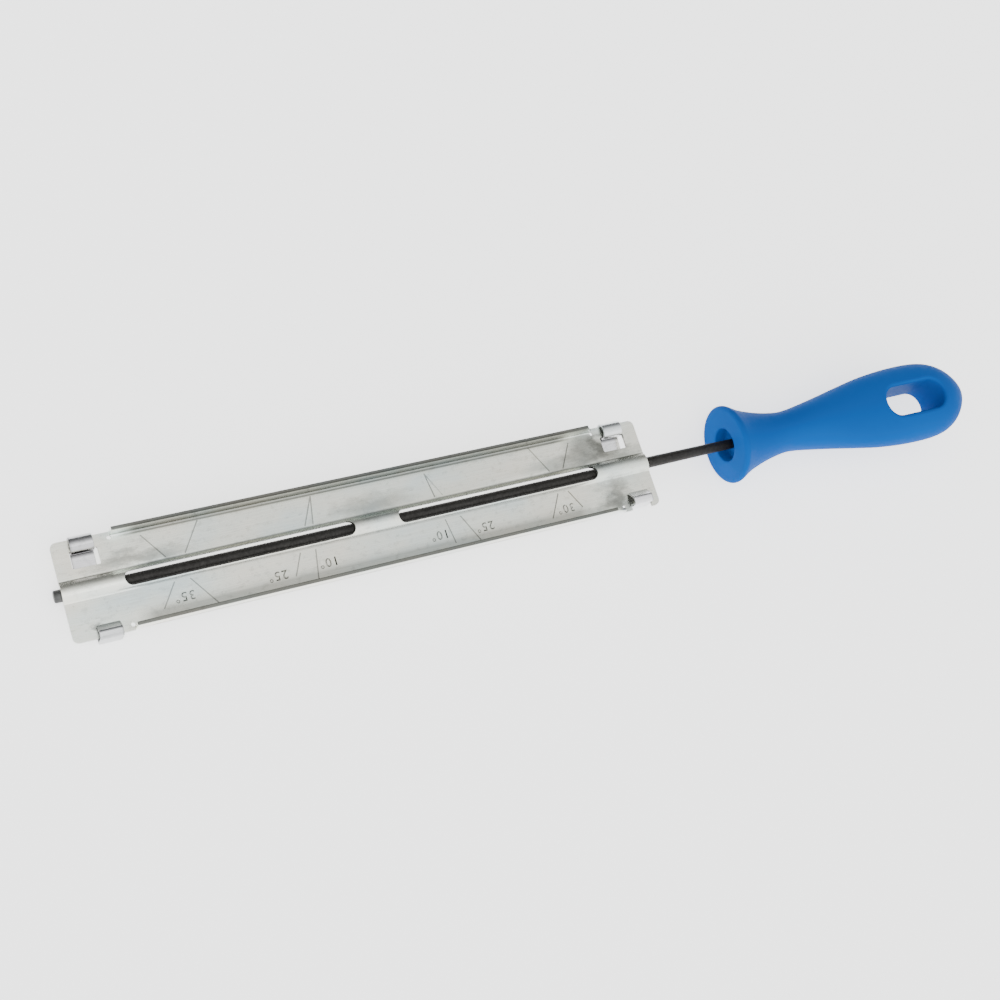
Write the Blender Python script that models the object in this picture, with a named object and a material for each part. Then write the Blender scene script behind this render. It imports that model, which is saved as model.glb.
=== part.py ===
"""Chainsaw file guide: a folded plate that holds a round file under a hollow ridge.

Two spring clips hinge on the far edge of the plate, pass under the file and hook over
the near edge. The file slides out to the right when the clips are open, and carries a
plastic handle on its tang.

Axes: X runs along the file, from its tip towards the handle; +Y is the hinge edge of the
plate; +Z is up, the side with the angle lines. The origin is the centre of the foot of
the box around the whole tool. Metres.
"""
import math

import bmesh
import bpy
from mathutils import Vector

MM = 0.001

# ---- file ----
FILE_R = 2.0            # 4.0 mm (5/32 in) round file
FILE_DROP = 2.2         # file axis below the plate's top face
TIP_X = -2.15           # tip, past the plate's left end
TAPER_X = 208.0         # the file starts to taper here
TANG_END_X = 284.0
TANG_END_R = 0.9
FACE_TANG_R = 1.82      # tang radius where it meets the handle's front face

# ---- plate ----
PLATE_L = 205.0
PLATE_HALF = 16.0
SHEET = 1.2
CORNER_R = 2.0
RIDGE_HALF = 3.3        # half width of the ridge where its arc would meet the top face
RIDGE_H = 1.5
RIDGE_FILLET = 0.8
FLANGE_H = 5.4          # above the top face
BEND_R = 0.6            # inside radius of the flange bend
FAR_FLANGE = (18.4, 187.4)
FAR_RAMP_X = 184.9      # each flange falls away from here to its right end
NEAR_FLANGE = (18.9, 190.6)
NEAR_RAMP_X = 185.4
RAMP_H = 1.5
SLOTS = ((19.2, 94.6), (109.9, 184.8))
SLOT_HALF = 2.45
WINDOW_Y = (6.6, 12.2)
WINDOWS = ((5.1, 13.8), (190.5, 199.7))
NOTCH = (193.85, 201.85, -13.7)      # cut in the near edge for the right hook
RELIEF_R = 0.7          # round relief at each end of a flange bend

CUT_Z = (-4.0, 4.0)     # the plate's cutters reach past both of its faces

# ---- clips ----
STRIP = 0.7
CLIP_W = 7.2
HINGE_Y = 14.1
HINGE_Z = -0.6
ROLL_R = 2.48           # to the middle of the strip
ROLL_END = 205.0        # degrees, where the roll stops inside the window
ROLL_LEAVE = -80.0      # degrees, where the strap leaves the roll
STRAP_Z = -4.95
SLANT_Y = (6.0, -14.0)  # the strap runs sideways between these
HOOK_TOP = 3.15         # the hook: over the wall, up to here, then down to its tip
HOOK_SHOULDER = 0.6
HOOK_CREST = 2.0        # inward from the wall
HOOK_REACH = 4.35
HOOK_TIP_Z = 0.8
STRAP_FILLETS = (8.0, 0.9, 1.0, 0.8)
CLIPS = (
    # name, left side at the hinge, sideways run of the strap, wall position
    ("left_clip", 5.65, 1.95, -16.8),
    ("right_clip", 191.85, 2.4, -14.5),
)

# ---- handle ----
FACE_X = 239.3
RIM_R = 14.35           # the front flange, the lowest point of the tool
HANDLE_PROFILE = (
    # distance from the front face, half width
    (0.0, 13.2), (0.4, 13.9), (1.2, RIM_R), (2.4, 14.2), (4.0, 13.3), (6.9, 11.75),
    (11.8, 10.05), (17.7, 8.6), (24.5, 7.65), (29.0, 7.85), (33.4, 8.45), (38.0, 9.2),
    (43.2, 10.1), (54.0, 12.15), (64.8, 14.0), (75.6, 15.05), (84.0, 15.3),
    (90.0, 15.1), (95.2, 14.3), (99.0, 13.0), (102.2, 11.2), (105.0, 8.9),
    (107.3, 6.3), (109.0, 3.6), (109.8, 1.6), (110.0, 0.5),
)
BULB_FLATNESS = 0.64    # thickness over width at the bulb
FLAT_FROM = 24.0        # the section turns from round to flattened between these
FLAT_TO = 62.0
HANDLE_SIDES = 40
RECESS_R = 6.1
RECESS_D = 4.5
BORE_GAP = 0.3
SLOT_C = 82.6           # hang slot, from the front face
SLOT_L = 27.0
SLOT_W = 11.6

# ---- frame ----
HANDLE_L = HANDLE_PROFILE[-1][0]
SHIFT_X = -(TIP_X + FACE_X + HANDLE_L) / 2.0
SHIFT_Y = -(HINGE_Y + ROLL_R + min(c[3] for c in CLIPS)) / 2.0
SHIFT_Z = FILE_DROP + RIM_R


def clear_scene():
    for ob in list(bpy.data.objects):
        bpy.data.objects.remove(ob, do_unlink=True)


def place(x, y, z):
    """A point of the plate's own frame, in the tool's frame."""
    return Vector(((x + SHIFT_X) * MM, (y + SHIFT_Y) * MM, (z + SHIFT_Z) * MM))


def material(name, colour, metallic, roughness):
    mat = bpy.data.materials.new(name)
    mat.use_nodes = True
    bsdf = mat.node_tree.nodes["Principled BSDF"]
    bsdf.inputs["Base Color"].default_value = (*colour, 1.0)
    bsdf.inputs["Metallic"].default_value = metallic
    bsdf.inputs["Roughness"].default_value = roughness
    mat.diffuse_color = (*colour, 1.0)
    return mat


def mesh_object(name, points, faces, mat=None, origin=(0.0, 0.0, 0.0), smooth=True):
    """One object from points in the plate's frame; origin is its joint or centre."""
    base = place(*origin)
    mesh = bpy.data.meshes.new(name)
    mesh.from_pydata([place(*p) - base for p in points], [], faces)
    mesh.validate()
    bm = bmesh.new()
    bm.from_mesh(mesh)
    bmesh.ops.recalc_face_normals(bm, faces=bm.faces)
    bm.to_mesh(mesh)
    bm.free()
    ob = bpy.data.objects.new(name, mesh)
    ob.location = base
    bpy.context.scene.collection.objects.link(ob)
    if mat:
        mesh.materials.append(mat)
    if smooth:
        mesh.shade_smooth()
        mesh.set_sharp_from_angle(angle=math.radians(30.0))
    return ob


def loft(sections):
    """Points and faces of a closed body through sections of equal length."""
    n = len(sections[0])
    points = [p for section in sections for p in section]
    faces = []
    for s in range(len(sections) - 1):
        a = s * n
        b = a + n
        for i in range(n):
            j = (i + 1) % n
            faces.append((a + i, a + j, b + j, b + i))
    faces.append(tuple(range(n - 1, -1, -1)))
    last = (len(sections) - 1) * n
    faces.append(tuple(range(last, last + n)))
    return points, faces


def prism(name, outline, z0=CUT_Z[0], z1=CUT_Z[1]):
    """A cutter: an outline in X and Y between two heights."""
    low = [(x, y, z0) for x, y in outline]
    high = [(x, y, z1) for x, y in outline]
    points, faces = loft([low, high])
    return cutter(mesh_object(name, points, faces, smooth=False))


def cutter(ob):
    ob.hide_render = True
    ob.display_type = "WIRE"
    return ob


def cut(ob, tool):
    mod = ob.modifiers.new("cut_" + tool.name, "BOOLEAN")
    mod.operation = "DIFFERENCE"
    mod.object = tool


def arc(cy, cz, r, a0, a1, n):
    """Points on an arc, angles in degrees from +Y towards +Z."""
    out = []
    for i in range(n + 1):
        a = math.radians(a0 + (a1 - a0) * i / n)
        out.append((cy + r * math.cos(a), cz + r * math.sin(a)))
    return out


# ---------------------------------------------------------------- plate

def ridge_lines():
    """Top and under side of the ridge, from the near foot to the far foot."""
    r_top = (RIDGE_HALF ** 2 + RIDGE_H ** 2) / (2.0 * RIDGE_H)
    cz = RIDGE_H - r_top
    fy = math.sqrt((r_top + RIDGE_FILLET) ** 2 - (RIDGE_FILLET - cz) ** 2)
    ang = math.degrees(math.atan2(RIDGE_FILLET - cz, fy))
    foot = RIDGE_FILLET
    low = RIDGE_FILLET + SHEET
    top = arc(-fy, foot, foot, 270.0, 360.0 - ang, 3)
    top += arc(0.0, cz, r_top, 180.0 - ang, ang, 14)[1:-1]
    top += arc(fy, foot, foot, 180.0 + ang, 270.0, 3)
    under = arc(-fy, foot, low, 270.0, 360.0 - ang, 3)
    under += arc(0.0, cz, r_top - SHEET, 180.0 - ang, ang, 14)[1:-1]
    under += arc(fy, foot, low, 180.0 + ang, 270.0, 3)
    return top, under


def edge_points(height):
    """The plate's edge, from the flat underside round to the flat top, for the +Y side.

    With no height the edge is plain; with one it is a flange of that height.
    """
    half = PLATE_HALF
    bend = half - SHEET - BEND_R
    n = 5
    if height is None:
        under = [(bend + (half - bend) * i / n, -SHEET) for i in range(n + 1)]
        side = [(half, 0.0), (half - 0.35, 0.0)]
        inner = [(half - 0.7 - (half - 0.7 - bend) * i / n, 0.0) for i in range(n + 1)]
        return under + side + inner
    under = arc(bend, BEND_R, BEND_R + SHEET, 270.0, 360.0, n)
    side = [(half, height), (half - SHEET, height)]
    inner = arc(bend, BEND_R, BEND_R, 360.0, 270.0, n)
    return under + side + inner


def plate_section(x, near, far):
    top, under = ridge_lines()
    near_side = [(-y, z) for y, z in edge_points(near)]
    far_side = edge_points(far)
    ring = list(reversed(near_side))        # top flat, round the near edge, to the underside
    ring += under                           # near foot to far foot, below
    ring += far_side                        # underside, round the far edge, to the top
    ring += list(reversed(top))             # far foot to near foot, above
    return [(x, y, z) for y, z in ring]


def corner_outline(cx, cy, sx, sy):
    """Outside of one rounded corner; sx and sy point away from the plate."""
    r = CORNER_R
    ax = cx - sx * r
    ay = cy - sy * r
    pts = []
    for i in range(7):
        a = math.radians(90.0 * i / 6)
        pts.append((ax + sx * r * math.sin(a), ay + sy * r * math.cos(a)))
    pts += [(cx + sx, ay), (cx + sx, cy + sy), (ax, cy + sy)]
    return pts


def stadium(cx, cy, length, half, n=10):
    pts = []
    for side, a0 in ((1.0, -90.0), (-1.0, 90.0)):
        mx = cx + side * (length / 2.0 - half)
        for i in range(n + 1):
            a = math.radians(a0 + 180.0 * i / n)
            pts.append((mx + half * math.cos(a), cy + half * math.sin(a)))
    return pts


def rounded_box(x0, x1, y0, y1, r=0.6, n=3):
    pts = []
    for cx, cy, a0 in ((x1 - r, y1 - r, 0.0), (x0 + r, y1 - r, 90.0),
                       (x0 + r, y0 + r, 180.0), (x1 - r, y0 + r, 270.0)):
        for i in range(n + 1):
            a = math.radians(a0 + 90.0 * i / n)
            pts.append((cx + r * math.cos(a), cy + r * math.sin(a)))
    return pts


def disc(cx, cy, r, n=16):
    return [(cx + r * math.cos(2 * math.pi * i / n), cy + r * math.sin(2 * math.pi * i / n))
            for i in range(n)]


def build_plate(mat):
    step = 0.2
    marks = {0.0, PLATE_L, NEAR_RAMP_X, FAR_RAMP_X}
    for a, b in (FAR_FLANGE, NEAR_FLANGE):
        marks |= {a - step, a, b, b + step}

    def height(x, ends, ramp):
        if not ends[0] <= x <= ends[1]:
            return None
        run = max(x - ramp, 0.0) / (ends[1] - ramp)
        return FLANGE_H + (RAMP_H - FLANGE_H) * run

    sections = []
    for x in sorted(marks):
        near = height(x, NEAR_FLANGE, NEAR_RAMP_X)
        far = height(x, FAR_FLANGE, FAR_RAMP_X)
        sections.append(plate_section(x, near, far))
    points, faces = loft(sections)
    plate = mesh_object("guide_plate", points, faces, mat)
    for i, (a, b) in enumerate(SLOTS):
        cut(plate, prism(f"slot_{i}", stadium((a + b) / 2, 0.0, b - a, SLOT_HALF)))
    for i, (a, b) in enumerate(WINDOWS):
        cut(plate, prism(f"window_{i}", rounded_box(a, b, *WINDOW_Y, r=0.5)))
    a, b, y = NOTCH
    cut(plate, prism("notch", rounded_box(a, b, -PLATE_HALF - 2.0, y, r=0.5)))
    for i, (x, sx) in enumerate(((0.0, -1.0), (PLATE_L, 1.0))):
        for k, sy in enumerate((-1.0, 1.0)):
            tool = prism(f"corner_{i}{k}", corner_outline(x, sy * PLATE_HALF, sx, sy))
            cut(plate, tool)
    y = PLATE_HALF - SHEET - BEND_R
    for i, (x, sy) in enumerate(((FAR_FLANGE[0], 1), (FAR_FLANGE[1], 1),
                                 (NEAR_FLANGE[0], -1), (NEAR_FLANGE[1], -1))):
        out = -0.5 if i % 2 == 0 else 0.5
        cut(plate, prism(f"relief_{i}", disc(x + out, sy * y, RELIEF_R), CUT_Z[0], 0.9))
    return plate


# ---------------------------------------------------------------- clips

def fillet_path(points, radii, n=6):
    """A line of points with each inner corner rounded to its radius."""
    out = [Vector(points[0])]
    for i in range(1, len(points) - 1):
        p = Vector(points[i])
        u = (Vector(points[i - 1]) - p).normalized()
        v = (Vector(points[i + 1]) - p).normalized()
        half = u.angle(v) / 2.0
        r = radii[i - 1]
        run = r / math.tan(half)
        centre = p + (u + v).normalized() * (r / math.sin(half))
        a = p + u * run - centre
        b = p + v * run - centre
        for k in range(n + 1):
            w = k / n
            turn = math.pi - 2.0 * half
            s0 = math.sin((1 - w) * turn) / math.sin(turn)
            s1 = math.sin(w * turn) / math.sin(turn)
            out.append(centre + a * s0 + b * s1)
    out.append(Vector(points[-1]))
    return out


def clip_path(wall):
    """Middle line of the strip in Y and Z, from the roll's end to the hook's tip."""
    roll = []
    n = 26
    for i in range(n + 1):
        a = math.radians(ROLL_END + (ROLL_LEAVE - ROLL_END) * i / n)
        roll.append(Vector((HINGE_Y + ROLL_R * math.cos(a), HINGE_Z + ROLL_R * math.sin(a))))
    slope = math.tan(math.radians(ROLL_LEAVE + 90.0))
    leave = roll[-1]
    level = leave.x - (leave.y - STRAP_Z) / slope
    corners = [leave, (level, STRAP_Z), (wall, STRAP_Z), (wall, HOOK_TOP - HOOK_SHOULDER),
               (wall + HOOK_CREST, HOOK_TOP), (wall + HOOK_REACH, HOOK_TIP_Z)]
    rest = fillet_path(corners, STRAP_FILLETS)
    return roll + rest[1:]


def build_clip(name, left, run, wall, mat):
    path = clip_path(wall)
    sections = []
    for i, p in enumerate(path):
        ahead = path[min(i + 1, len(path) - 1)]
        behind = path[max(i - 1, 0)]
        d = (ahead - behind).normalized()
        side = Vector((-d.y, d.x)) * (STRIP / 2.0)
        w = min(max((SLANT_Y[0] - p.x) / (SLANT_Y[0] - SLANT_Y[1]), 0.0), 1.0)
        x0 = left + run * w
        x1 = x0 + CLIP_W
        a = p + side
        b = p - side
        sections.append([(x0, a.x, a.y), (x1, a.x, a.y), (x1, b.x, b.y), (x0, b.x, b.y)])
    points, faces = loft(sections)
    hinge = (left + CLIP_W / 2.0, HINGE_Y, HINGE_Z)
    return mesh_object(name, points, faces, mat, origin=hinge)


# ---------------------------------------------------------------- file

def build_file(mat):
    profile = [(TIP_X, 1.7), (TIP_X + 0.3, FILE_R), (TAPER_X, FILE_R), (FACE_X, FACE_TANG_R),
               (TANG_END_X - 1.0, TANG_END_R + 0.2), (TANG_END_X, TANG_END_R)]
    sides = 28
    sections = []
    for x, r in profile:
        ring = [(x, y, z) for y, z in arc(0.0, -FILE_DROP, r, 0.0, 360.0, sides)[:-1]]
        sections.append(ring)
    points, faces = loft(sections)
    return mesh_object("round_file", points, faces, mat, origin=(0.0, 0.0, -FILE_DROP))


# ---------------------------------------------------------------- handle

def smooth_profile(rows, per=3):
    """A curve through the rows (Catmull-Rom, by chord length)."""
    out = []
    n = len(rows)
    for i in range(n - 1):
        p0 = Vector(rows[max(i - 1, 0)])
        p1 = Vector(rows[i])
        p2 = Vector(rows[i + 1])
        p3 = Vector(rows[min(i + 2, n - 1)])
        d0 = max((p1 - p0).length, 1e-6) ** 0.5
        d1 = max((p2 - p1).length, 1e-6) ** 0.5
        d2 = max((p3 - p2).length, 1e-6) ** 0.5
        m1 = (p2 - p1) if i == 0 else ((p1 - p0) / d0 - (p2 - p0) / (d0 + d1)
                                       + (p2 - p1) / d1) * d1
        m2 = (p2 - p1) if i == n - 2 else ((p2 - p1) / d1 - (p3 - p1) / (d1 + d2)
                                           + (p3 - p2) / d2) * d1
        steps = per if (p2 - p1).length > 4.0 else 1
        for k in range(steps):
            t = k / steps
            h0 = 2 * t ** 3 - 3 * t ** 2 + 1
            h1 = t ** 3 - 2 * t ** 2 + t
            h2 = -2 * t ** 3 + 3 * t ** 2
            h3 = t ** 3 - t ** 2
            out.append(p1 * h0 + m1 * h1 + p2 * h2 + m2 * h3)
    out.append(Vector(rows[-1]))
    return out


def flatness(d):
    w = min(max((d - FLAT_FROM) / (FLAT_TO - FLAT_FROM), 0.0), 1.0)
    w = w * w * (3.0 - 2.0 * w)
    return 1.0 + (BULB_FLATNESS - 1.0) * w


def build_handle(mat):
    sections = []
    for p in smooth_profile(HANDLE_PROFILE):
        d, r = p.x, p.y
        ring = []
        for i in range(HANDLE_SIDES):
            a = 2.0 * math.pi * i / HANDLE_SIDES
            ring.append((FACE_X + d, r * math.cos(a),
                         -FILE_DROP + r * flatness(d) * math.sin(a)))
        sections.append(ring)
    points, faces = loft(sections)
    handle = mesh_object("handle", points, faces, mat, origin=(FACE_X, 0.0, -FILE_DROP))
    # front recess, and the bore that takes the tang
    bottom = FACE_X + RECESS_D
    end = TANG_END_X + 1.0
    mouth_r = FACE_TANG_R + BORE_GAP
    rows = ((FACE_X - 2.0, RECESS_R + 0.4), (FACE_X, RECESS_R + 0.2),
            (bottom - 1.0, RECESS_R - 0.3), (bottom - 0.2, RECESS_R - 1.1),
            (bottom, mouth_r + 0.4), (bottom + 0.6, mouth_r - 0.1), (end, TANG_END_R + BORE_GAP + 0.2))
    sections = []
    for x, r in rows:
        ring = arc(0.0, -FILE_DROP, r, 0.0, 360.0, 28)[:-1]
        sections.append([(x, y, z) for y, z in ring])
    points, faces = loft(sections)
    cut(handle, cutter(mesh_object("recess", points, faces, smooth=False)))
    # hang slot
    outline = stadium(FACE_X + SLOT_C, 0.0, SLOT_L, SLOT_W / 2.0)
    cut(handle, prism("hang_slot", outline, -FILE_DROP - 20, -FILE_DROP + 20))
    return handle


def main():
    clear_scene()
    zinc = material("zinc_plate", (0.80, 0.81, 0.80), 1.0, 0.28)
    spring = material("spring_steel", (0.72, 0.73, 0.74), 1.0, 0.25)
    dark = material("file_steel", (0.07, 0.065, 0.06), 0.9, 0.45)
    blue = material("blue_plastic", (0.005, 0.155, 0.49), 0.0, 0.4)
    build_plate(zinc)
    for name, left, run, wall in CLIPS:
        build_clip(name, left, run, wall, spring)
    blade = build_file(dark)
    handle = build_handle(blue)
    bpy.context.view_layer.update()
    handle.parent = blade
    handle.matrix_parent_inverse = blade.matrix_world.inverted()


main()
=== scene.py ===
"""Looks for the chainsaw file guide: a zinc-plated plate, two spring clips, a round file
and a blue moulded handle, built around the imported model.

Lengths below are millimetres in the plate's own frame unless a name says otherwise: x from
the plate's left end, y from the file's axis towards the hinge edge, z up from the top face.
"""
import math

import bmesh
import bpy
from mathutils import Matrix, Vector


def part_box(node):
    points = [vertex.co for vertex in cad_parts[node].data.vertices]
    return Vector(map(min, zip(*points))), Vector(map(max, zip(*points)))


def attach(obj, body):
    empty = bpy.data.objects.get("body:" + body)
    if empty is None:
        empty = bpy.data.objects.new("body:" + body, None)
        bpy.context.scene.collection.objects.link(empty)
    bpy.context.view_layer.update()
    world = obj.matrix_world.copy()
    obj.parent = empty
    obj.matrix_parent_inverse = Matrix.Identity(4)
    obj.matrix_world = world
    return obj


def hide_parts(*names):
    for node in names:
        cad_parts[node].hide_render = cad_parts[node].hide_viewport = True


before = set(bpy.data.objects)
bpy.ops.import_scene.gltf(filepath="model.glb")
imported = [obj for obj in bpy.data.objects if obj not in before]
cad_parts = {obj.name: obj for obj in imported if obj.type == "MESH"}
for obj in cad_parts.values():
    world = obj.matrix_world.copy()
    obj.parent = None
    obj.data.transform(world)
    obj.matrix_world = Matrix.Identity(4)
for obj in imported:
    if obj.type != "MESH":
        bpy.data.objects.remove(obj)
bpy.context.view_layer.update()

MM = 0.001
SHEET = 1.2
SMOOTH_BELOW = 35.0     # degrees: gentler turns between faces are shaded smooth
MERGE = 0.02            # points of a solid nearer than this are made one
LEVEL = 0.4             # degrees: faces nearer to level than this are made one
ROUND_STEPS = 3         # faces across a rounded edge
PLATE_EDGE = (0.18, 40.0, 0.6)          # width, least turn in degrees, shortest neighbour
CLIP_EDGE = (0.14, 50.0)

plate_lo, plate_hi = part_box("guide_plate")
file_lo, file_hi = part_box("round_file")
handle_lo, handle_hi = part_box("handle")
left_lo, left_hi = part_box("left_clip")

ORIGIN = Vector((plate_lo.x, (plate_lo.y + plate_hi.y) / 2.0, plate_lo.z + SHEET * MM))
AXIS_Z = ((file_lo.z + file_hi.z) / 2.0 - ORIGIN.z) / MM
FILE_R = (file_hi.z - file_lo.z) / 2.0 / MM
TIP_X = (file_lo.x - ORIGIN.x) / MM
TANG_END_X = (file_hi.x - ORIGIN.x) / MM
FACE_X = (handle_lo.x - ORIGIN.x) / MM
HANDLE_L = (handle_hi.x - handle_lo.x) / MM

# ---- marks stamped in the plate ----
LINE_W = 0.42
LINE_DEPTH = 0.22
CUTTER_TOP = 0.5        # how far a line's cutter stands above the top face
RIDGE_FOOT = 4.1        # the lines stop at the ridge
LINES = (
    # two families of lines, which meet or cross between families but not within one
    (
        ((27.25, 12.77), (45.44, -14.02)),
        ((83.17, 13.54), (71.32, -11.37)),
        ((123.21, 12.87), (135.9, -14.15)),
        ((162.73, 13.87), (175.64, -10.78)),
    ), (
        ((45.59, 13.63), (28.58, -11.85)),
        ((83.17, 13.54), (78.21, -13.73)),
        ((123.21, 12.87), (126.87, -12.82)),
        ((178.02, 12.7), (163.47, -12.31)),
    ),
)
DEGREES = (
    ("35", 35.7, -9.3), ("25", 65.7, -9.8), ("10", 83.0, -9.2),
    ("10", 122.2, -8.9), ("25", 138.6, -9.5), ("30", 169.4, -9.8),
)
DIGIT_SIZE = 4.2
DIGIT_SWELL = 0.035     # how far the strokes are widened on each side
DIGIT_DEPTH = 0.20
DIGIT_SPACING = 1.18    # of the font's own

PAINTED_SHADE_PATCHES = (
    # centre x and y, half widths, strength: painted dark reflections and shadow beside the ridge
    # and hooks
    (24.0, 6.0, 22.0, 3.2, 0.52),
    (103.0, 6.0, 17.0, 5.6, 0.45),
    (184.5, 8.5, 13.0, 9.0, 0.60),
    (189.5, 9.5, 4.0, 6.0, 0.60),
    (172.0, 6.0, 16.0, 4.5, 0.32),
    (190.0, -9.0, 7.5, 7.5, 0.55),
    (187.0, -12.8, 10.0, 4.5, 0.50),
    (8.5, -13.8, 3.4, 3.6, 0.70),
    (195.0, 5.2, 15.0, 3.8, 0.50),
)
RAGGED = (20.0, 11.0)   # how far the noise pushes a patch's outline, along x and y
OUTER = ((-16.2, 1.0), (-15.8, 1.0), (-15.2, 0.0), (16.0, 0.0))  # y: the near flange's outer face
BEND_PAINTED_SHADE = ((-1.2, 0.42), (1.1, 0.42), (1.8, 1.0), (6.0, 1.0))  # z: painted shade round its bend
PAINTED_SHADE_ACROSS = (
    # y, brightness: painted shade up the far flange, beside the ridge and along the near flange
    (-16.0, 1.0), (-14.9, 0.95), (-14.7, 0.45), (-12.1, 0.48), (-11.2, 0.72), (-9.6, 0.92),
    (-7.5, 1.0), (-3.7, 1.0), (-3.45, 0.45), (-3.1, 0.45), (-2.9, 1.0), (3.3, 1.0),
    (3.5, 0.50), (3.75, 0.50), (3.95, 0.92), (9.0, 1.0), (13.5, 1.0), (13.8, 0.34),
    (14.9, 0.34), (15.5, 0.9), (16.0, 1.0),
)
FLANGED = ((20.0, 0.0), (26.0, 1.0), (174.0, 1.0), (180.0, 0.0))  # x: the flanges' run, soft-ended
THROUGH = (
    # z, brightness: sheared edges and stamped marks are duller than the rolled faces
    (-1.2, 1.0), (-1.1, 0.55), (-0.10, 0.45), (-0.03, 1.0), (5.05, 1.0), (5.25, 0.20), (6.0, 0.20),
)

PLATE_TONES = (
    (0.28, (0.92, 0.88, 0.77)), (0.5, (0.84, 0.86, 0.78)), (0.72, (0.70, 0.80, 0.80)),
)
PLATE_ROUGH = (0.18, 0.32)

# ---- clips ----
STRAP_ONLY = ((-7.0, 1.0), (-1.6, 1.0), (-1.0, 0.0), (3.0, 0.0))    # z: below the plate
STRAP_SHADE = (
    # y, brightness: painted shadow on the strap where it runs in under the roll
    (-17.0, 1.0), (10.6, 1.0), (11.3, 0.30), (13.2, 0.30), (13.8, 1.0), (17.0, 1.0),
)
CLIP_END = 0.45         # how far the darkening of a clip's ends reaches: dull sheared ends, with painted shade beside them
CLIP_END_TONE = 0.40
CLIP_BODY_SHADE = (0.66, 1.0)           # painted shade: the left clip is darker than the right
CLIP_TONES = (
    (0.25, (0.74, 0.72, 0.74)), (0.5, (0.78, 0.79, 0.80)), (0.75, (0.70, 0.75, 0.78)),
)
CLIP_ROUGH = (0.16, 0.28)

# ---- file ----
TIP_ROUND = ((0.0, 1.62), (0.12, 1.82), (0.35, FILE_R))     # distance from the tip, radius
TAPER_X = 208.0
TAPER_EASE = (8.0, 0.04)                # the taper's gentle start: its length and its fall
NECK_R = 1.82
TANG_END = ((1.0, 1.1), (0.0, 0.9))     # distance from the tang's end, radius
TEETH = (1.0, 206.0)    # where the teeth run
TEETH_FADE = (2.0, 3.0)                 # lengths over which they fade in and out
TOOTH_PITCH = 1.1
TOOTH_BACK = 0.72       # the long back's share of the pitch
TOOTH_DEPTH = 0.07
TOOTH_STARTS = 5
RINGS_PER_TOOTH = 5
FILE_SIDES = 40
FILE_SHARP = 45.0       # degrees
FILE_TONES = ((0.3, (0.015, 0.014, 0.013)), (0.75, (0.038, 0.036, 0.034)))
TIP_TONES = ((0.3, (0.06, 0.06, 0.06)), (0.75, (0.11, 0.11, 0.108)))
BARE_TIP = ((-3.0, 1.0), (0.6, 1.0), (1.6, 0.0), (210.0, 0.0))      # x: the tip's bare steel

# ---- handle ----
HANDLE_PROFILE = (
    # distance from the front face, half width
    (0.0, 13.5), (0.35, 14.05), (1.0, 14.35), (1.9, 14.15), (3.4, 13.35), (6.6, 11.8),
    (11.8, 10.05), (17.7, 8.6), (24.5, 7.65), (29.0, 7.85), (33.4, 8.45), (38.0, 9.2),
    (43.2, 10.1), (54.0, 12.15), (64.8, 14.0), (75.6, 15.05), (84.0, 15.3),
    (90.0, 15.1), (95.2, 14.3), (99.0, 13.0), (102.2, 11.2), (105.0, 8.9),
    (107.3, 6.3), (109.0, 3.6), (109.8, 1.6), (110.0, 0.5),
)
BULB_FLATNESS = 0.64    # thickness over width at the bulb
FLAT_FROM = 24.0        # the section turns from round to flattened between these
FLAT_TO = 62.0
HANDLE_SIDES = 112
HANDLE_SHARP = 50.0     # degrees
RING_STEPS = (4.0, 0.25, 0.9)           # this near an end, rings this far apart, else this far
RECESS_R = 6.1
RECESS_D = 4.5
RECESS_LIP = 0.5        # radius of the recess's lip
RECESS_CORNER = 0.9     # radius of the round at its bottom
RECESS_DRAFT = 0.25     # how much narrower it is at the bottom
BORE_R = 2.12
BORE_END_R = 1.3
FACE_RADII = (9.5, 12.6)                # rings on the flat front face
SLOT_C = 82.6           # middle of the hang slot, from the front face
SLOT_L = 27.0
SLOT_W = 11.6
SLOT_LIP = 1.5          # radius of the hang slot's moulded lip
SLOT_CUT = (16.0, 1.06)                 # the cutter's half height, and its flare in lips
SLOT_SWEEP = 84.0       # degrees of the lip's quarter round
SLOT_STEPS = 8
BLUE_TONES = ((0.3, (0.0004, 0.063, 0.285)), (0.7, (0.0008, 0.074, 0.320)))

# ---- stage ----
FLOOR_HALF = 6.0        # metres
FLOOR_GAP = 0.0001      # metres between the tool and the floor
FLOOR_GLOW = 1.5        # a light table, which keeps the shadows faint
FLANGE_D = 1.2          # the handle's front flange touches the floor this far from its face
TENT_CENTRE = (0.0, -0.87, 0.5)
TENT_PEAK = 4.5
TENT = (
    # cosine from the tent's bright centre, radiance
    (-1.0, 0.30), (-0.6, 0.16), (-0.25, 0.34), (0.05, 1.0), (0.27, 1.5),
    (0.5, 1.7), (0.66, 1.9), (0.8, 2.3), (0.92, 2.6), (1.0, 2.6),
)
WARMTH = 0.985          # the tent's red, as a share of its green and blue
LENS_MM = 54.0
CAMERA_AT = (-0.22479, -0.10715, 0.47354)
CAMERA_RIGHT = (0.89823, -0.30189, 0.31946)
CAMERA_AHEAD = (0.38887, 0.20707, -0.89772)


def at(x, y, z):
    """A point of the plate's frame, in the tool's frame, in metres."""
    return ORIGIN + Vector((x, y, z)) * MM


# ---------------------------------------------------------------- meshes

def new_object(name, bm, angle=SMOOTH_BELOW):
    mesh = bpy.data.meshes.new(name)
    bmesh.ops.recalc_face_normals(bm, faces=bm.faces)
    bm.to_mesh(mesh)
    bm.free()
    mesh.shade_smooth()
    mesh.set_sharp_from_angle(angle=math.radians(angle))
    ob = bpy.data.objects.new(name, mesh)
    bpy.context.scene.collection.objects.link(ob)
    return ob


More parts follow.
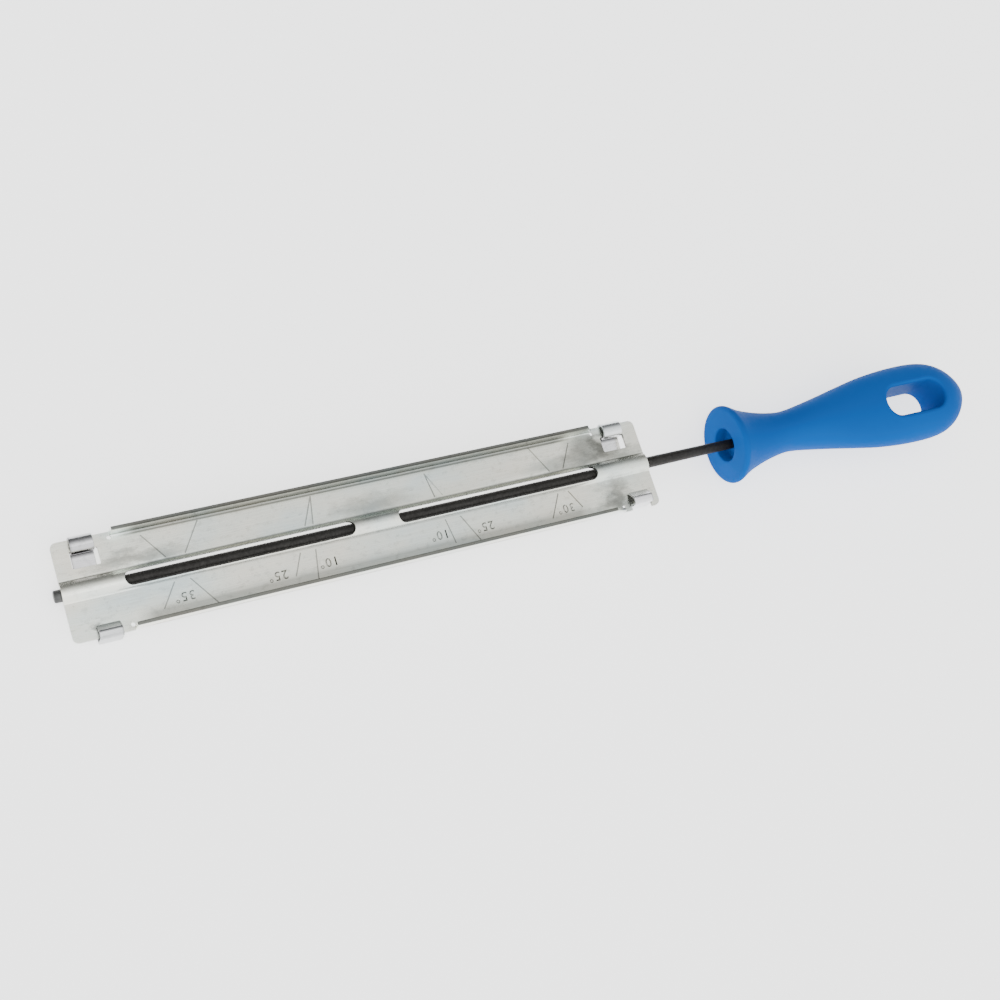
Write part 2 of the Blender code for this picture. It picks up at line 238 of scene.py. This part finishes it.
def loft(rings):
    """A closed skin through rings of equal length."""
    bm = bmesh.new()
    rows = [[bm.verts.new(p) for p in ring] for ring in rings]
    n = len(rows[0])
    for a, b in zip(rows, rows[1:]):
        for i in range(n):
            j = (i + 1) % n
            bm.faces.new((a[i], a[j], b[j], b[i]))
    bm.faces.new(rows[0][::-1])
    bm.faces.new(rows[-1])
    return bm


def from_cad(node, name, bevel, angle, shortest=0.0):
    """A copy of a node's solid with its edges rounded.

    An edge that meets one under the shortest length stays sharp, because the bevel throws
    points off the solid there.
    """
    bm = bmesh.new()
    bm.from_mesh(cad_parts[node].data)
    bmesh.ops.remove_doubles(bm, verts=bm.verts, dist=MERGE * MM)
    bmesh.ops.dissolve_limit(bm, angle_limit=math.radians(LEVEL), verts=bm.verts,
                             edges=bm.edges, use_dissolve_boundaries=False)
    weight = bm.edges.layers.float.new("bevel_weight_edge")
    for edge in bm.edges:
        turn = edge.calc_face_angle(0.0) if len(edge.link_faces) == 2 else 0.0
        next_to = [e for v in edge.verts for e in v.link_edges if e is not edge]
        free = min(e.calc_length() for e in next_to) >= shortest * MM
        if free and turn > math.radians(angle):
            edge[weight] = 1.0
    ob = new_object(name, bm)
    mod = ob.modifiers.new("edges", "BEVEL")
    mod.width = bevel * MM
    mod.segments = ROUND_STEPS
    mod.limit_method = "WEIGHT"
    mod.use_clamp_overlap = shortest == 0.0
    mod.harden_normals = False
    settle(ob)
    return ob


def join_cutters(name, meshes):
    bm = bmesh.new()
    for mesh in meshes:
        bm.from_mesh(mesh)
        bpy.data.meshes.remove(mesh)
    return new_object(name, bm)


def cut(ob, tool):
    """Cuts the tool out of ob and removes the tool."""
    mod = ob.modifiers.new("cut", "BOOLEAN")
    mod.operation = "DIFFERENCE"
    mod.solver = "EXACT"
    mod.object = tool
    settle(ob)
    bpy.data.objects.remove(tool, do_unlink=True)


def settle(ob):
    """Replaces ob's mesh with the one its modifiers make."""
    graph = bpy.context.evaluated_depsgraph_get()
    mesh = bpy.data.meshes.new_from_object(ob.evaluated_get(graph))
    ob.modifiers.clear()
    ob.data = mesh
    mesh.shade_smooth()
    mesh.set_sharp_from_angle(angle=math.radians(SMOOTH_BELOW))


def flatten_shading(ob):
    """Keeps flat faces flat in the shading, with the turn left to the rounded edges."""
    mod = ob.modifiers.new("normals", "WEIGHTED_NORMAL")
    mod.mode = "FACE_AREA"
    mod.weight = 100
    mod.keep_sharp = True


# ---------------------------------------------------------------- plate

def groove(a, b):
    """A cutter along a stamped line, from a to b on the top face."""
    a = Vector(a)
    b = Vector(b)
    along = (b - a).normalized()
    side = Vector((-along.y, along.x)) * LINE_W / 2.0
    outline = [a + side, a - side, b - side, b + side]
    low = [at(p.x, p.y, -LINE_DEPTH) for p in outline]
    high = [at(p.x, p.y, CUTTER_TOP) for p in outline]
    bm = loft([low, high])
    mesh = bpy.data.meshes.new("groove")
    bmesh.ops.recalc_face_normals(bm, faces=bm.faces)
    bm.to_mesh(mesh)
    bm.free()
    return mesh


def groove_runs(line):
    """The stretches of a line that lie on the flats on each side of the ridge."""
    (x0, y0), (x1, y1) = line

    def point(y):
        return (x0 + (x1 - x0) * (y - y0) / (y1 - y0), y)

    return ((line[0], point(RIDGE_FOOT)), (point(-RIDGE_FOOT), line[1]))


def digits(text, x, y):
    """A cutter for a number and its degree sign, upright as seen from the hinge edge."""
    curve = bpy.data.curves.new("digits", "FONT")
    curve.body = text + "°"
    curve.size = DIGIT_SIZE * MM
    curve.align_x = "CENTER"
    curve.align_y = "CENTER"
    curve.extrude = DIGIT_DEPTH * MM
    curve.resolution_u = 3
    curve.offset = DIGIT_SWELL * MM
    curve.space_character = DIGIT_SPACING
    ob = bpy.data.objects.new("digits", curve)
    bpy.context.scene.collection.objects.link(ob)
    graph = bpy.context.evaluated_depsgraph_get()
    mesh = bpy.data.meshes.new_from_object(ob.evaluated_get(graph))
    mesh.transform(Matrix.Translation(at(x, y, 0.0)) @ Matrix.Rotation(math.pi, 4, "Z"))
    bpy.data.objects.remove(ob, do_unlink=True)
    bpy.data.curves.remove(curve)
    bm = bmesh.new()
    bm.from_mesh(mesh)
    bmesh.ops.remove_doubles(bm, verts=bm.verts, dist=1e-7)
    bm.to_mesh(mesh)
    bm.free()
    return mesh


def build_plate(mat):
    ob = from_cad("guide_plate", "plate_skin", *PLATE_EDGE)
    for family in LINES:
        grooves = [groove(a, b) for line in family for a, b in groove_runs(line)]
        cut(ob, join_cutters("lines", grooves))
    cut(ob, join_cutters("numbers", [digits(text, x, y) for text, x, y in DEGREES]))
    flatten_shading(ob)
    finish_piece(ob, mat, "guide_plate", "plate")


# ---------------------------------------------------------------- clips

def build_clip(node, mat):
    ob = from_cad(node, node + "_skin", *CLIP_EDGE)
    flatten_shading(ob)
    finish_piece(ob, mat, node, node)


# ---------------------------------------------------------------- file

def file_ring(x, radius):
    """A ring of the file at x; radius gives its radius at an angle."""
    ring = []
    for i in range(FILE_SIDES):
        a = 2.0 * math.pi * i / FILE_SIDES
        r = radius(a)
        ring.append(at(x, r * math.cos(a), AXIS_Z + r * math.sin(a)))
    return ring


def plain_ring(x, r):
    return file_ring(x, lambda a: r)


def tooth_radius(x):
    """Spiral cuts: a steep face and a long back, fading out towards each end."""
    fade = min((x - TEETH[0]) / TEETH_FADE[0], (TEETH[1] - x) / TEETH_FADE[1], 1.0)

    def radius(a):
        phase = (x / TOOTH_PITCH + TOOTH_STARTS * a / (2.0 * math.pi)) % 1.0
        if phase < TOOTH_BACK:
            height = 1.0 - phase / TOOTH_BACK
        else:
            height = (phase - TOOTH_BACK) / (1.0 - TOOTH_BACK)
        return FILE_R - TOOTH_DEPTH * max(fade, 0.0) * (1.0 - height)
    return radius


def build_file(mat):
    rings = [plain_ring(TIP_X + d, r) for d, r in TIP_ROUND]
    step = TOOTH_PITCH / RINGS_PER_TOOTH
    count = int((TEETH[1] - TEETH[0]) / step)
    for i in range(count + 1):
        x = TEETH[0] + step * i
        rings.append(file_ring(x, tooth_radius(x)))
    run, fall = TAPER_EASE
    rings.append(plain_ring(TAPER_X, FILE_R))
    rings.append(plain_ring(TAPER_X + run, FILE_R - fall))
    rings.append(plain_ring(FACE_X, NECK_R))
    rings += [plain_ring(TANG_END_X - d, r) for d, r in TANG_END]
    ob = new_object("file_skin", loft(rings), FILE_SHARP)
    finish_piece(ob, mat, "round_file", "file")


# ---------------------------------------------------------------- handle

def half_width(d):
    """Half width of the handle at a distance from its front face (Catmull-Rom)."""
    rows = HANDLE_PROFILE
    k = 0
    while k < len(rows) - 2 and d > rows[k + 1][0]:
        k += 1
    p0 = rows[max(k - 1, 0)]
    p1 = rows[k]
    p2 = rows[k + 1]
    p3 = rows[min(k + 2, len(rows) - 1)]
    h = p2[0] - p1[0]
    t = (d - p1[0]) / h
    m1 = (p2[1] - p0[1]) / max(p2[0] - p0[0], 1e-6) * h
    m2 = (p3[1] - p1[1]) / max(p3[0] - p1[0], 1e-6) * h
    h0 = 2 * t ** 3 - 3 * t ** 2 + 1
    h1 = t ** 3 - 2 * t ** 2 + t
    h2 = -2 * t ** 3 + 3 * t ** 2
    h3 = t ** 3 - t ** 2
    return p1[1] * h0 + m1 * h1 + p2[1] * h2 + m2 * h3


def flatness(d):
    """Thickness over width at a distance from the front face."""
    w = min(max((d - FLAT_FROM) / (FLAT_TO - FLAT_FROM), 0.0), 1.0)
    w = w * w * (3.0 - 2.0 * w)
    return 1.0 + (BULB_FLATNESS - 1.0) * w


def handle_ring(d, r, flat):
    ring = []
    for i in range(HANDLE_SIDES):
        a = 2.0 * math.pi * i / HANDLE_SIDES
        ring.append(at(FACE_X + d, r * math.cos(a), AXIS_Z + r * flat * math.sin(a)))
    return ring


def fillet(cx, cr, r, a0, a1, n=5):
    """Points (distance, radius) on a quarter round of the turned inside."""
    out = []
    for i in range(n + 1):
        a = math.radians(a0 + (a1 - a0) * i / n)
        out.append((cx + r * math.cos(a), cr + r * math.sin(a)))
    return out


def inside_profile():
    """From the blind end of the bore out to the front face: distance from it, radius."""
    lip = RECESS_LIP
    corner = RECESS_CORNER
    out = [(TANG_END_X + 1.0 - FACE_X, BORE_END_R), (RECESS_D + 0.7, BORE_R),
           (RECESS_D + 0.2, BORE_R + 0.1), (RECESS_D, BORE_R + 0.5)]
    out += fillet(RECESS_D - corner, RECESS_R - RECESS_DRAFT - corner, corner, 0.0, 90.0)
    out += fillet(lip, RECESS_R + lip, lip, 270.0, 180.0)
    return out + [(0.0, r) for r in FACE_RADII]


def skin_height(d, y):
    """Half thickness of the handle at a point of its outline plan."""
    r = half_width(min(max(d, 0.0), HANDLE_L))
    return r * flatness(d) * math.sqrt(max(1.0 - (y / r) ** 2, 0.0))


def slot_outline(grow, n=16):
    """The hang slot's outline, grown on every side."""
    half = SLOT_W / 2.0
    run = SLOT_L / 2.0 - half
    out = []
    for side, a0 in ((1.0, -90.0), (-1.0, 90.0)):
        for i in range(n + 1):
            a = math.radians(a0 + 180.0 * i / n)
            r = half + grow
            out.append((SLOT_C + side * run + r * math.cos(a), r * math.sin(a)))
    return out


def slot_cutter():
    """The hang slot's inside, flared by a quarter round where it meets each face."""
    reach, flare = SLOT_CUT
    ends = slot_outline(SLOT_LIP * flare)
    rings = [[at(FACE_X + d, y, AXIS_Z - reach) for d, y in ends]]
    down = range(SLOT_STEPS, -1, -1)
    up = range(SLOT_STEPS + 1)
    for side, turns in ((-1.0, down), (1.0, up)):
        for k in turns:
            a = math.radians(SLOT_SWEEP * k / SLOT_STEPS)
            grow = SLOT_LIP * (1.0 - math.cos(a))
            sink = SLOT_LIP * (1.0 - math.sin(a))
            ring = []
            for d, y in slot_outline(grow):
                ring.append(at(FACE_X + d, y, AXIS_Z + side * (skin_height(d, y) - sink)))
            rings.append(ring)
    rings.append([at(FACE_X + d, y, AXIS_Z + reach) for d, y in ends])
    return new_object("slot", loft(rings))


def build_handle(mat):
    rings = [handle_ring(d, r, 1.0) for d, r in inside_profile()]
    near, fine, coarse = RING_STEPS
    d = 0.0
    while d < HANDLE_L - 0.02:
        rings.append(handle_ring(d, half_width(d), flatness(d)))
        d += fine if min(d, HANDLE_L - d) < near else coarse
    rings.append(handle_ring(HANDLE_L, HANDLE_PROFILE[-1][1], flatness(HANDLE_L)))
    ob = new_object("handle_skin", loft(rings), HANDLE_SHARP)
    cut(ob, slot_cutter())
    finish_piece(ob, mat, "handle", "file")


def finish_piece(ob, mat, node, body):
    """Gives a piece its material and its body, and hides the node it replaces."""
    ob.data.materials.clear()
    ob.data.materials.append(mat)
    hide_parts(node)
    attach(ob, body)


# ---------------------------------------------------------------- materials

class Nodes:
    """Short helpers around one material's node tree."""

    def __init__(self, name, metallic=0.0):
        self.mat = bpy.data.materials.new(name)
        self.mat.use_nodes = True
        self.tree = self.mat.node_tree
        self.bsdf = self.tree.nodes["Principled BSDF"]
        self.set("Metallic", metallic)
        self.coords = self.tree.nodes.new("ShaderNodeTexCoord").outputs["Object"]
        self.ragged = None

    def set(self, name, value):
        """Sets one input of the shader, to a value or to another node's output."""
        if isinstance(value, bpy.types.NodeSocket):
            self.link(value, self.bsdf.inputs[name])
        else:
            self.bsdf.inputs[name].default_value = value

    def link(self, a, b):
        self.tree.links.new(a, b)

    def scaled(self, scale):
        """The piece's own coordinates, times scale along x, y and z (per metre)."""
        node = self.tree.nodes.new("ShaderNodeMapping")
        node.inputs["Scale"].default_value = scale
        self.link(self.coords, node.inputs["Vector"])
        return node.outputs["Vector"]

    def noise(self, scale, detail=3.0, rough=0.5):
        node = self.tree.nodes.new("ShaderNodeTexNoise")
        node.inputs["Scale"].default_value = 1.0
        node.inputs["Detail"].default_value = detail
        node.inputs["Roughness"].default_value = rough
        self.link(self.scaled(scale), node.inputs["Vector"])
        return node.outputs["Fac"]

    def ramp(self, fac, stops):
        """A colour or grey level for each place, blended between."""
        node = self.tree.nodes.new("ShaderNodeValToRGB")
        items = node.color_ramp.elements
        while len(items) < len(stops):
            items.new(0.5)
        for item, (place, colour) in zip(items, stops):
            item.position = place
            rgb = colour if isinstance(colour, tuple) else (colour,) * 3
            item.color = (*rgb, 1.0)
        self.link(fac, node.inputs["Fac"])
        return node.outputs["Color"]

    def mix(self, kind, fac, a, b):
        node = self.tree.nodes.new("ShaderNodeMix")
        node.data_type = "RGBA"
        node.blend_type = kind
        if isinstance(fac, float):
            node.inputs[0].default_value = fac
        else:
            self.link(fac, node.inputs[0])
        self.link(a, node.inputs[6])
        self.link(b, node.inputs[7])
        return node.outputs[2]

    def bump(self, height, distance, strength=1.0, normal=None):
        node = self.tree.nodes.new("ShaderNodeBump")
        node.inputs["Strength"].default_value = strength
        node.inputs["Distance"].default_value = distance
        self.link(height, node.inputs["Height"])
        if normal:
            self.link(normal, node.inputs["Normal"])
        return node.outputs["Normal"]

    def warped(self):
        """The piece's own coordinates, pushed about by noise."""
        if self.ragged is None:
            cloud = self.tree.nodes.new("ShaderNodeTexNoise")
            cloud.inputs["Scale"].default_value = 1.0
            cloud.inputs["Detail"].default_value = 5.0
            cloud.inputs["Roughness"].default_value = 0.65
            self.link(self.scaled((110.0, 210.0, 210.0)), cloud.inputs["Vector"])
            push = self.tree.nodes.new("ShaderNodeVectorMath")
            push.operation = "MULTIPLY_ADD"
            push.inputs[1].default_value = (RAGGED[0] * MM, RAGGED[1] * MM, 0.0)
            self.link(cloud.outputs["Color"], push.inputs[0])
            self.link(self.coords, push.inputs[2])
            back = self.tree.nodes.new("ShaderNodeVectorMath")
            back.operation = "SUBTRACT"
            back.inputs[1].default_value = (RAGGED[0] * MM / 2.0, RAGGED[1] * MM / 2.0, 0.0)
            self.link(push.outputs[0], back.inputs[0])
            self.ragged = back.outputs[0]
        return self.ragged

    def along(self, axis, low, high):
        """0 to 1 along one axis of the plate's frame, from low to high."""
        split = self.tree.nodes.new("ShaderNodeSeparateXYZ")
        self.link(self.coords, split.inputs[0])
        node = self.tree.nodes.new("ShaderNodeMapRange")
        node.inputs["From Min"].default_value = at(low, low, low)[axis]
        node.inputs["From Max"].default_value = at(high, high, high)[axis]
        self.link(split.outputs[axis], node.inputs["Value"])
        return node.outputs["Result"]

    def profile(self, axis, rows):
        """A grey level given at places along one axis."""
        low, high = rows[0][0], rows[-1][0]
        stops = [((place - low) / (high - low), level) for place, level in rows]
        return self.ramp(self.along(axis, low, high), stops)

    def patch(self, x, y, rx, ry, strength):
        """A soft dark cloud on the plate, centred at x and y with half widths rx and ry."""
        shift = self.tree.nodes.new("ShaderNodeMapping")
        shift.vector_type = "TEXTURE"
        shift.inputs["Location"].default_value = at(x, y, 0.0)
        shift.inputs["Scale"].default_value = (rx * MM, ry * MM, 1.0)
        self.link(self.warped(), shift.inputs["Vector"])
        ball = self.tree.nodes.new("ShaderNodeTexGradient")
        ball.gradient_type = "SPHERICAL"
        self.link(shift.outputs["Vector"], ball.inputs["Vector"])
        return self.ramp(ball.outputs["Fac"], ((0.0, 1.0), (0.75, 1.0 - strength)))


def clip_tones():
    """Brightness along x over both clips: painted shade on the left clip, and darker ends, dull
    sheared ends with painted shade beside them.
    """
    rows = []
    for node, tone in zip(("left_clip", "right_clip"), CLIP_BODY_SHADE):
        lo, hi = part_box(node)
        first = (lo.x - ORIGIN.x) / MM
        last = (hi.x - ORIGIN.x) / MM
        rows += [(first, CLIP_END_TONE), (first + CLIP_END, tone),
                 (last - CLIP_END, tone), (last, CLIP_END_TONE)]
    return rows


def plate_shade(n, colour):
    """Paints shade along the flanges and ridge, dulls sheared edges and marks, and lays on painted
    dark reflections and shadow.
    """
    run = n.profile(0, FLANGED)
    # painted shade in bands across the plate, over the flanges' run
    colour = n.mix("MULTIPLY", run, colour, n.profile(1, PAINTED_SHADE_ACROSS))
    colour = n.mix("MULTIPLY", 1.0, colour, n.profile(2, THROUGH))
    # painted shade round the near flange's outer bend
    outer = n.mix("MULTIPLY", 1.0, n.profile(1, OUTER), run)
    colour = n.mix("MULTIPLY", outer, colour, n.profile(2, BEND_PAINTED_SHADE))
    speckle = n.ramp(n.noise((900.0, 1100.0, 1100.0), 5.0, 0.7), ((0.35, 0.60), (0.6, 1.0)))
    # painted dark reflections and shadow, in soft ragged patches
    shade = n.patch(*PAINTED_SHADE_PATCHES[0])
    for row in PAINTED_SHADE_PATCHES[1:]:
        shade = n.mix("MULTIPLY", 1.0, shade, n.patch(*row))
    grainy = n.mix("MULTIPLY", 1.0, shade, speckle)
    return n.mix("MULTIPLY", 1.0, colour, n.mix("LIGHTEN", 1.0, grainy, shade))


def clip_shade(n, colour):
    """Paints shadow on a clip's strap under the roll, and darkens the clip's ends."""
    colour = n.mix("MULTIPLY", n.profile(2, STRAP_ONLY), colour, n.profile(1, STRAP_SHADE))
    return n.mix("MULTIPLY", 1.0, colour, n.profile(0, clip_tones()))


def plated_steel(name, tones, rough, shade):
    """Bright zinc on rolled steel: faint colour clouds, drawn streaks along x, light scuffs."""
    n = Nodes(name, metallic=1.0)
    clouds = n.ramp(n.noise((38.0, 70.0, 70.0), 3.0), tones)
    streaks = n.ramp(n.noise((60.0, 2600.0, 900.0), 4.0, 0.6), ((0.30, 0.88), (0.70, 1.0)))
    colour = n.mix("MULTIPLY", 1.0, clouds, streaks)
    spots = n.ramp(n.noise((420.0, 560.0, 560.0), 5.0, 0.65), ((0.34, 0.80), (0.46, 1.0)))
    colour = n.mix("MULTIPLY", 0.8, colour, spots)
    n.set("Base Color", shade(n, colour))
    wear = n.noise((120.0, 210.0, 210.0), 5.0, 0.6)
    n.set("Roughness", n.ramp(wear, ((0.3, rough[0]), (0.7, rough[1]))))
    waves = n.bump(n.noise((45.0, 90.0, 90.0), 2.0), 0.00012, 0.5)
    n.set("Normal", n.bump(n.noise((300.0, 5200.0, 2400.0), 3.0), 0.000012, 0.6, waves))
    return n.mat


def file_steel():
    """Dark cut steel, paler at the tip, which has no teeth."""
    n = Nodes("file_steel_look", metallic=0.75)
    speck = n.noise((900.0, 900.0, 900.0), 4.0, 0.7)
    dark = n.ramp(speck, FILE_TONES)
    bare = n.ramp(speck, TIP_TONES)
    n.set("Base Color", n.mix("MIX", n.profile(0, BARE_TIP), dark, bare))
    dull = n.ramp(n.noise((300.0, 900.0, 900.0), 4.0), ((0.3, 0.44), (0.7, 0.62)))
    n.set("Roughness", dull)
    n.set("Normal", n.bump(n.noise((2500.0, 2500.0, 2500.0), 4.0, 0.6), 0.00003, 0.7))
    return n.mat


def blue_plastic():
    """Moulded plastic: a faint flow tone, a fine satin grain and shallow sink marks."""
    n = Nodes("blue_plastic_look")
    n.set("Specular IOR Level", 0.03)
    n.set("Base Color", n.ramp(n.noise((16.0, 34.0, 34.0), 3.0), BLUE_TONES))
    satin = n.ramp(n.noise((900.0, 900.0, 900.0), 3.0), ((0.3, 0.46), (0.7, 0.56)))
    n.set("Roughness", satin)
    sink = n.bump(n.noise((70.0, 110.0, 110.0), 2.0), 0.0002, 0.35)
    n.set("Normal", n.bump(n.noise((3400.0, 3400.0, 3400.0), 3.0, 0.6), 0.00002, 0.5, sink))
    return n.mat


# ---------------------------------------------------------------- stage

def tilt_of_rest():
    """The tool rests on the left clip's strap and the handle's front flange."""
    front_x = handle_lo.x + FLANGE_D * MM
    return front_x, math.atan2(left_lo.z - handle_lo.z, front_x - left_lo.x)


def build_floor():
    front_x, tilt = tilt_of_rest()
    bm = bmesh.new()
    half = FLOOR_HALF
    corners = ((-half, -half), (half, -half), (half, half), (-half, half))
    bm.faces.new([bm.verts.new((x, y, 0.0)) for x, y in corners])
    ob = new_object("floor", bm)
    ob.location = (front_x, 0.0, handle_lo.z - FLOOR_GAP)
    ob.rotation_euler = (0.0, tilt, 0.0)
    n = Nodes("floor_look")
    n.set("Roughness", 0.9)
    n.set("Specular IOR Level", 0.0)
    n.set("Base Color", n.ramp(n.noise((3.0, 3.0, 3.0), 2.0), ((0.3, 0.90), (0.7, 0.915))))
    n.set("Emission Color", (1.0, 1.0, 1.0, 1.0))
    n.set("Emission Strength", FLOOR_GLOW)
    ob.data.materials.append(n.mat)


def area_light(name, place, target, size, power):
    data = bpy.data.lights.new(name, "AREA")
    data.shape = "RECTANGLE"
    data.size = size[0]
    data.size_y = size[1]
    data.energy = power
    ob = bpy.data.objects.new(name, data)
    bpy.context.scene.collection.objects.link(ob)
    ob.location = place
    ob.rotation_euler = (Vector(target) - Vector(place)).to_track_quat("-Z", "Y").to_euler()


def build_light():
    """A light tent: brightest in front and overhead, dark along the far horizon."""
    world = bpy.data.worlds.new("studio")
    bpy.context.scene.world = world
    world.use_nodes = True
    tree = world.node_tree
    coords = tree.nodes.new("ShaderNodeTexCoord")
    facing = tree.nodes.new("ShaderNodeVectorMath")
    facing.operation = "DOT_PRODUCT"
    facing.inputs[1].default_value = Vector(TENT_CENTRE).normalized()
    tree.links.new(coords.outputs["Generated"], facing.inputs[0])
    spread = tree.nodes.new("ShaderNodeMapRange")
    spread.inputs["From Min"].default_value = -1.0
    tree.links.new(facing.outputs["Value"], spread.inputs["Value"])
    tone = tree.nodes.new("ShaderNodeValToRGB")
    tone.color_ramp.interpolation = "B_SPLINE"
    items = tone.color_ramp.elements
    while len(items) < len(TENT):
        items.new(0.5)
    for item, (turn, level) in zip(items, TENT):
        item.position = (turn + 1.0) / 2.0
        grey = level / TENT_PEAK
        item.color = (grey * WARMTH, grey, grey, 1.0)
    tree.links.new(spread.outputs["Result"], tone.inputs["Fac"])
    background = tree.nodes["Background"]
    background.inputs["Strength"].default_value = TENT_PEAK
    tree.links.new(tone.outputs["Color"], background.inputs["Color"])
    area_light("overhead", (-0.35, -0.25, 1.5), (-0.05, 0.0, 0.0), (1.2, 1.2), 6.0)


def build_camera():
    data = bpy.data.cameras.new("camera")
    data.lens = LENS_MM
    data.sensor_width = 36.0
    data.clip_start = 0.01
    ob = bpy.data.objects.new("camera", data)
    bpy.context.scene.collection.objects.link(ob)
    right = Vector(CAMERA_RIGHT)
    ahead = Vector(CAMERA_AHEAD)
    up = right.cross(ahead)
    turn = Matrix((right, up, -ahead)).transposed().to_4x4()
    ob.matrix_world = Matrix.Translation(CAMERA_AT) @ turn
    bpy.context.scene.camera = ob


def main():
    zinc = plated_steel("zinc_plate_look", PLATE_TONES, PLATE_ROUGH, plate_shade)
    spring = plated_steel("spring_steel_look", CLIP_TONES, CLIP_ROUGH, clip_shade)
    build_plate(zinc)
    build_clip("left_clip", spring)
    build_clip("right_clip", spring)
    build_file(file_steel())
    build_handle(blue_plastic())
    build_floor()
    build_light()
    build_camera()


main()
